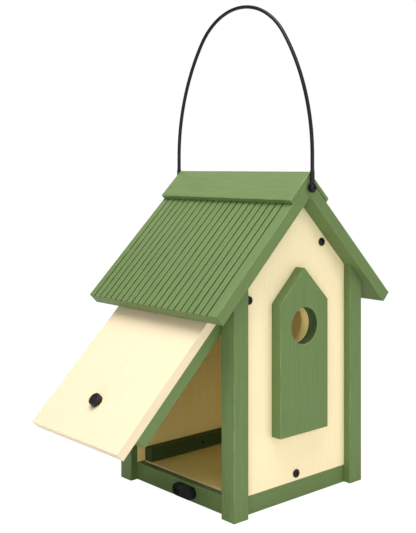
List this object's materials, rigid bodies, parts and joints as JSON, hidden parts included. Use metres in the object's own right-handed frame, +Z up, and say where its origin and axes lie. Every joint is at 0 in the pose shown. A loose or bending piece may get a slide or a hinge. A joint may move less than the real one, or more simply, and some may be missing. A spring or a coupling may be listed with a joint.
{
  "type": "birdhouse",
  "caption": "Gabled timber birdhouse with corner posts, a round entrance, a swing-out side door with a turn button, and a wire bail to hang it by.",
  "frame": {"origin": "middle of the footprint of the four corner posts, on the plane of their feet", "axes": "+Z up; +Y along the ridge from the entrance gable to the rear gable; +X from the door side to the fixed side wall"},
  "size_m": [0.3473, 0.2264, 0.5281],
  "materials": {
    "green_timber": "satin sage green paint over sawn timber",
    "cream_timber": "satin cream paint over sawn timber",
    "black_steel": "black coated steel",
    "black_knob": "matt black"
  },
  "bodies": {
    "house": {"post_front_left": "green_timber", "post_front_right": "green_timber", "post_rear_left": "green_timber", "post_rear_right": "green_timber", "rail_front": "green_timber", "rail_rear": "green_timber", "rail_right": "green_timber", "door_sill": "green_timber", "floor_cleat_front": "green_timber", "floor_cleat_rear": "green_timber", "roof_batten_left": "green_timber", "roof_batten_right": "green_timber", "roof_slab_left": "green_timber", "roof_slab_right": "green_timber", "ridge_cap_left": "green_timber", "ridge_cap_right": "green_timber", "portal_plate": "green_timber", "front_panel": "cream_timber", "rear_panel": "cream_timber", "side_panel": "cream_timber", "floor_board": "cream_timber", "gable_screws": "black_steel", "button_base": "black_steel", "button_screw": "black_steel", "bail_screws": "black_steel", "bail_washers": "black_steel"},
    "door": {"door_panel": "cream_timber", "door_backing_board": "green_timber", "door_knob": "black_knob", "knob_screw": "black_steel", "pivot_screws": "black_steel"},
    "button": {"button_bar": "black_steel"},
    "bail": {"bail_wire": "black_steel", "bail_lug_front": "black_steel", "bail_lug_rear": "black_steel"}
  },
  "joints": [
    {"name": "door_swing", "type": "hinge", "parent": "house", "child": "door", "pos_m": [-0.068, 0, 0.2145], "axis": [0, 1, 0], "range_deg": [-45, 6]},
    {"name": "button_turn", "type": "hinge", "parent": "house", "child": "button", "pos_m": [-0.09, 0, 0.0095], "axis": [-1, 0, 0], "range_deg": [0, 180]},
    {"name": "bail_swing", "type": "hinge", "parent": "house", "child": "bail", "pos_m": [0, 0, 0.3266], "axis": [0, 1, 0], "range_deg": [-120, 120]}
  ]
}
